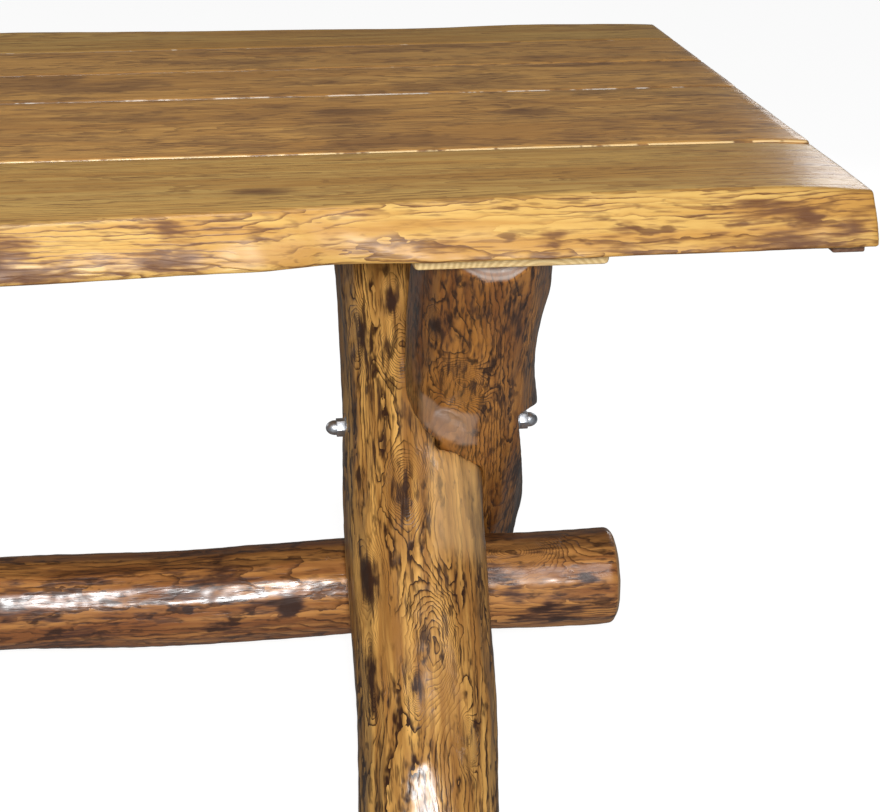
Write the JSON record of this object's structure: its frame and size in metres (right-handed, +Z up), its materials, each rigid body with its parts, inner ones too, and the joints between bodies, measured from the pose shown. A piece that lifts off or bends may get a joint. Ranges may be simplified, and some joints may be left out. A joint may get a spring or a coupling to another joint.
{
  "type": "dining table",
  "caption": "Rustic dining table: thick live-edge boards on crossed-log trestles tied by a log stretcher.",
  "frame": {"origin": "on the floor, under the middle of the table", "axes": "+X along the boards to the right-hand end, +Y from the front edge to the back edge, +Z up"},
  "size_m": [2, 1.0156, 0.75],
  "materials": {
    "top": "flame-burnt and brushed softwood under gloss varnish, golden brown with dark streaks",
    "live_edge": "flame-burnt softwood with a peeled, rounded outer edge, gloss varnish",
    "leg": "peeled log, flame-burnt and brushed, gloss varnish, golden",
    "dark_leg": "peeled log, flame-burnt and brushed, gloss varnish, dark brown",
    "stretcher": "peeled log, flame-burnt, gloss varnish, red-brown",
    "bearer": "sawn softwood, pale, varnished",
    "batten": "thin sawn batten, stained dark brown",
    "zinc": "bright zinc-plated steel"
  },
  "bodies": {
    "root": {"back_board": "live_edge", "fourth_board": "top", "front_board": "live_edge", "left_bearer": "bearer", "left_bearer_screw_1": "zinc", "left_bearer_screw_2": "zinc", "left_bearer_screw_3": "zinc", "left_bearer_screw_4": "zinc", "left_bearer_screw_5": "zinc", "left_bearer_screw_6": "zinc", "left_bearer_screw_7": "zinc", "left_bearer_screw_8": "zinc", "left_bearer_screw_9": "zinc", "left_cross_rod": "zinc", "left_end_batten": "batten", "left_end_batten_screw_1": "zinc", "left_end_batten_screw_2": "zinc", "left_end_batten_screw_3": "zinc", "left_end_batten_screw_4": "zinc", "left_end_batten_screw_5": "zinc", "left_inner_cap_nut": "zinc", "left_inner_leg": "leg", "left_inner_leg_screw": "zinc", "left_inner_stretcher_screw": "zinc", "left_inner_washer": "zinc", "left_outer_cap_nut": "zinc", "left_outer_leg": "dark_leg", "left_outer_leg_screw": "zinc", "left_outer_stretcher_screw": "zinc", "left_outer_washer": "zinc", "middle_board": "top", "right_bearer": "bearer", "right_bearer_screw_1": "zinc", "right_bearer_screw_2": "zinc", "right_bearer_screw_3": "zinc", "right_bearer_screw_4": "zinc", "right_bearer_screw_5": "zinc", "right_bearer_screw_6": "zinc", "right_bearer_screw_7": "zinc", "right_bearer_screw_8": "zinc", "right_bearer_screw_9": "zinc", "right_cross_rod": "zinc", "right_end_batten": "batten", "right_end_batten_screw_1": "zinc", "right_end_batten_screw_2": "zinc", "right_end_batten_screw_3": "zinc", "right_end_batten_screw_4": "zinc", "right_end_batten_screw_5": "zinc", "right_inner_cap_nut": "zinc", "right_inner_leg": "leg", "right_inner_leg_screw": "zinc", "right_inner_stretcher_screw": "zinc", "right_inner_washer": "zinc", "right_outer_cap_nut": "zinc", "right_outer_leg": "dark_leg", "right_outer_leg_screw": "zinc", "right_outer_stretcher_screw": "zinc", "right_outer_washer": "zinc", "second_board": "top", "stretcher": "stretcher"}
  },
  "joints": []
}
